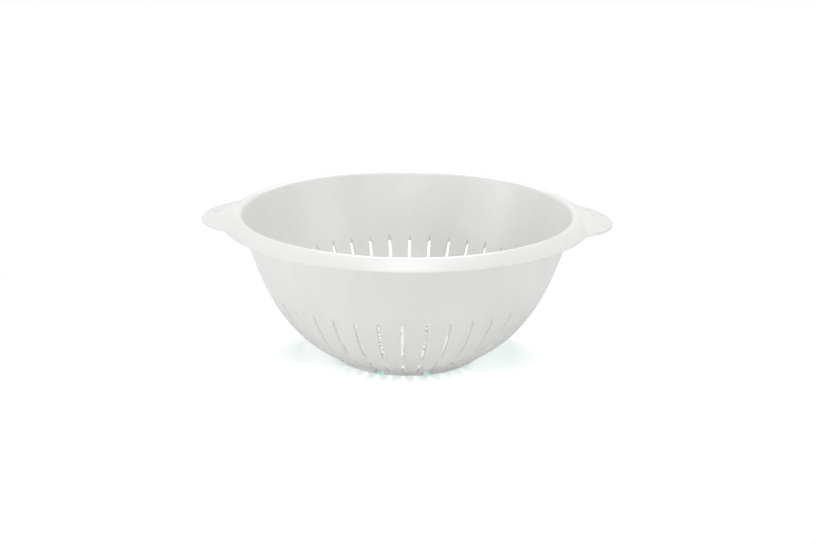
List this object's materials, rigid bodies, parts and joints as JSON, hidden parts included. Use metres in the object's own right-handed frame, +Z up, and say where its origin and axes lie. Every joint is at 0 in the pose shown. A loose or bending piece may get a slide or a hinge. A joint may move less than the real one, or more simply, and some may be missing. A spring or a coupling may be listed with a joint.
{
  "type": "colander",
  "caption": "Deep round plastic colander with slotted wall and floor, rolled rim, two tongue handles and a ring of short feet.",
  "frame": {"origin": "on the table under the bowl's axis, level with the undersides of the feet", "axes": "+Z up along the bowl's axis, the two handles along X, the front at -Y"},
  "size_m": [0.3112, 0.2782, 0.1128],
  "materials": {
    "white_plastic": "satin moulded polypropylene"
  },
  "bodies": {
    "root": {"rim": "white_plastic", "upper_wall": "white_plastic", "slotted_wall": "white_plastic", "base_curve": "white_plastic", "drain_floor": "white_plastic", "left_handle": "white_plastic", "right_handle": "white_plastic", "foot_01": "white_plastic", "foot_02": "white_plastic", "foot_03": "white_plastic", "foot_04": "white_plastic", "foot_05": "white_plastic", "foot_06": "white_plastic", "foot_07": "white_plastic", "foot_08": "white_plastic", "foot_09": "white_plastic", "foot_10": "white_plastic"}
  },
  "joints": []
}
